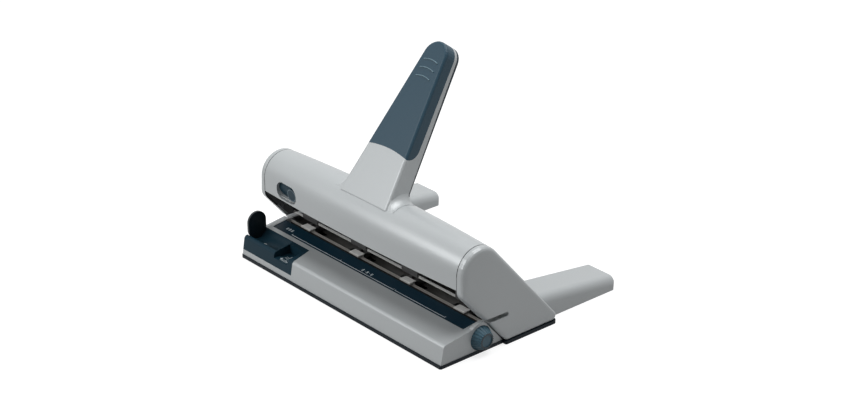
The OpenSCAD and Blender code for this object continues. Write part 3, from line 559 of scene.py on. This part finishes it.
def addScale(name, body, scale):
    # ticks with a longer one in the middle, and figures beside them
    parts = []
    half = scale["line"] / 2
    middleTick = scale["ticks"] // 2
    for i in range(scale["ticks"]):
        x = scale["middle"] + (i - middleTick) * scale["step"]
        reach = scale["long"] if i == middleTick else scale["short"]
        parts.append(stroke(x - half, x + half, scale["foot"], scale["foot"] + reach))
    for words, aside in scale["words"]:
        x, y = scale["middle"] + aside, scale["foot"] + scale["figure"] / 2
        parts.append(figures(words, x, y, scale["figure"]))
    marks = joined(name, parts, scale["ink"])
    marks.location = (0, 0, scale["height"])
    settle(marks, body, "paleInk")


def addBarMarks():
    # on the guide bar, seen through the window
    addScale("barMarks", "side_stop", {
        "line": 0.0005, "ink": 0.00005, "height": 0.01621, "foot": -0.0392, "middle": -0.0955,
        "step": 0.0022, "ticks": 5, "short": 0.0045, "long": 0.0080, "words": []})


def addSillMarks():
    # on the window's sill, in front of the bar
    addScale("sillMarks", "frame", {
        "line": 0.0006, "ink": 0.00005, "height": 0.01741, "foot": -0.0465, "middle": -0.0925,
        "step": 0.0022, "ticks": 5, "short": 0.0035, "long": 0.0055, "figure": 0.0062,
        "words": [("4", -0.0068), ("5", 0.0068)]})


def addChannelMark():
    # an arrow on the front flank of the round channel, which points at the paddle
    arrow = {"corners": 3, "reach": 0.0023, "heading": 90.0, "lean": -18.9, "ink": 0.00005,
             "place": (-0.1345, -0.0376, 0.01911)}
    deselectAll()
    bpy.ops.mesh.primitive_circle_add(vertices=arrow["corners"], radius=arrow["reach"], fill_type="NGON",
                                      location=(0, 0, 0))
    mark = bpy.context.active_object
    mark.name = "channelMark"
    mark.rotation_euler = (0, 0, math.radians(arrow["heading"]))
    applyPlace()
    applyModifier(mark, "SOLIDIFY", thickness=arrow["ink"], offset=1.0)
    mark.rotation_euler = (math.radians(arrow["lean"]), 0, 0)
    mark.location = arrow["place"]
    settle(mark, "frame", "paleInk")


addStripMarks()
addBarMarks()
addSillMarks()
addChannelMark()
print("marks ready")


# Head plates, the painted highlight on the lock and the pin springs

def addHeadPlates():
    # brushed plate on each head's tab, with its front edge turned up
    plate = {"width": 0.0150, "front": 0.0044, "back": 0.0128, "height": 0.02923, "lip": 0.0004,
             "lipRun": 0.0006, "thick": 0.00015}
    deselectAll()
    first = stroke(-plate["width"] / 2, plate["width"] / 2, plate["front"] + plate["lipRun"], plate["back"])
    bpy.ops.object.mode_set(mode="EDIT")
    bpy.ops.mesh.select_all(action="DESELECT")
    bpy.ops.object.mode_set(mode="OBJECT")
    frontLimit = plate["front"] + 2 * plate["lipRun"]
    for edge in first.data.edges:
        edge.select = all(first.data.vertices[i].co.y < frontLimit for i in edge.vertices)
    bpy.ops.object.mode_set(mode="EDIT")
    bpy.ops.mesh.select_mode(type="EDGE")
    bpy.ops.mesh.extrude_region_move(TRANSFORM_OT_translate={"value": (0, -plate["lipRun"], plate["lip"])})
    bpy.ops.object.mode_set(mode="OBJECT")
    applyModifier(first, "SOLIDIFY", thickness=plate["thick"], offset=1.0)
    for i, piece in copiesOf(first, "headPlate_").items():
        piece.location = (headPlaces[i], 0, plate["height"])
        settle(piece, "head_" + str(i), "plateSteel")


def addLockHighlight():
    # painted highlight: a flat pale ring round the face of the lock's button, for the light caught by the
    # button's bevelled edge
    ring = {"x": -0.102, "turn": 97.0, "out": 0.02595, "axisHeight": 0.085, "radius": 0.0063, "wire": 0.0005,
            "flat": 0.3, "steps": 64, "sides": 12}
    deselectAll()
    bpy.ops.mesh.primitive_torus_add(major_radius=ring["radius"], minor_radius=ring["wire"],
                                     major_segments=ring["steps"], minor_segments=ring["sides"],
                                     location=(0, 0, 0))
    piece = bpy.context.active_object
    piece.name = "lockHighlight"
    bpy.ops.object.mode_set(mode="EDIT")
    bpy.ops.mesh.select_all(action="SELECT")
    bpy.ops.transform.resize(value=(1, 1, ring["flat"]))
    bpy.ops.object.mode_set(mode="OBJECT")
    turn = math.radians(ring["turn"])
    piece.rotation_euler = (turn, 0, 0)
    y, z = -math.sin(turn) * ring["out"], ring["axisHeight"] + math.cos(turn) * ring["out"]
    piece.location = (ring["x"], y, z)
    settle(piece, "lock", "highlightBlue")


def addPinSprings():
    # round wire wound on each pin, from its seat on the head to the pin's cap
    spring = {"radius": 0.00308, "wire": 0.00026, "sides": 10, "turns": 9, "steps": 28, "y": 0.0168,
              "seat": 0.05505, "cap": 0.09122, "stroke": 0.0148, "weld": 0.000001, "smoothBelow": 40.0}
    whole = spring["cap"] - spring["seat"]
    rise = (whole - 2 * spring["wire"]) / spring["turns"]
    deselectAll()
    bpy.ops.mesh.primitive_circle_add(vertices=spring["sides"], radius=spring["wire"],
                                      location=(spring["radius"], 0, 0), rotation=(math.radians(90), 0, 0))
    first = bpy.context.active_object
    applyPlace()
    applyModifier(first, "SCREW", angle=math.radians(360), screw_offset=rise, iterations=spring["turns"],
                  steps=spring["steps"], render_steps=spring["steps"])
    bpy.ops.object.mode_set(mode="EDIT")
    bpy.ops.mesh.select_all(action="SELECT")
    bpy.ops.mesh.remove_doubles(threshold=spring["weld"])
    bpy.ops.mesh.fill_holes(sides=0)
    bpy.ops.object.mode_set(mode="OBJECT")
    for i, coil in copiesOf(first, "pinCoil_").items():
        x, y = headPlaces[i], spring["y"]
        coil.location = (x, y, spring["seat"] + spring["wire"])
        settle(coil, "head_" + str(i), "brightSteel")
        bpy.ops.object.shade_smooth_by_angle(angle=math.radians(spring["smoothBelow"]))
        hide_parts("pin_spring_" + str(i))
        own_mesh(coil)


addHeadPlates()
addLockHighlight()
addPinSprings()
print("details ready")
